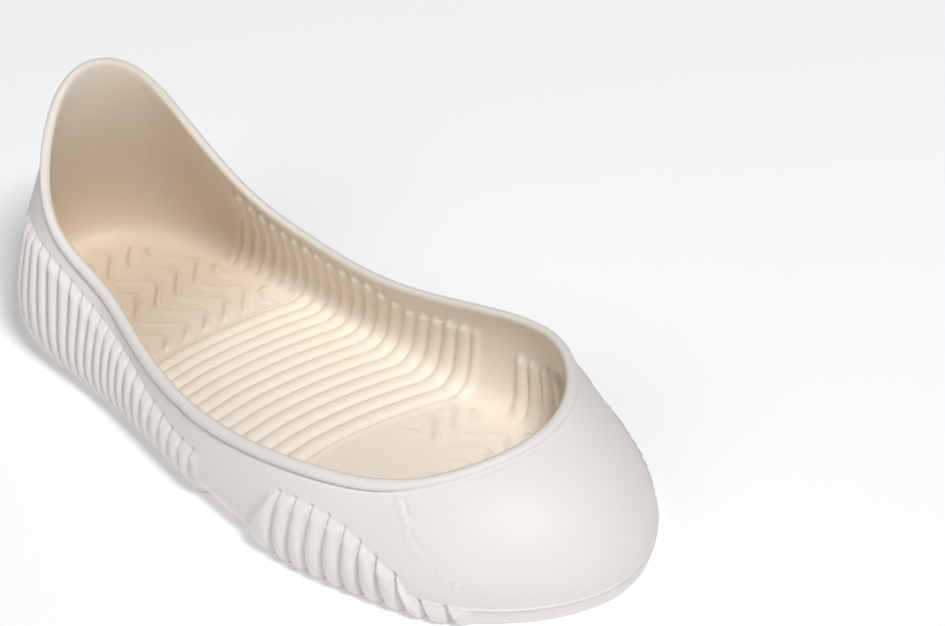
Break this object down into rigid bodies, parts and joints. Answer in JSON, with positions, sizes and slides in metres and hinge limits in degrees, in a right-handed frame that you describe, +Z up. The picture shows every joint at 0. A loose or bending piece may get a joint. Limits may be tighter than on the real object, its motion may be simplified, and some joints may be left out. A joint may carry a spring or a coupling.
{
  "type": "rubber overshoe",
  "caption": "Low slip-on rubber overshoe for a right foot, with ribbed sides, rolled rim, high heel tab and smooth toe cap.",
  "frame": {"origin": "middle of the shoe's length and width, on the floor that its flat underside stands on", "axes": "+X towards the toe, +Y towards the inner side of the foot, +Z up"},
  "size_m": [0.2689, 0.1129, 0.0919],
  "materials": {
    "rubber": "matte off-white moulded rubber, slightly warmer inside"
  },
  "bodies": {
    "root": {"overshoe": "rubber"}
  },
  "joints": []
}
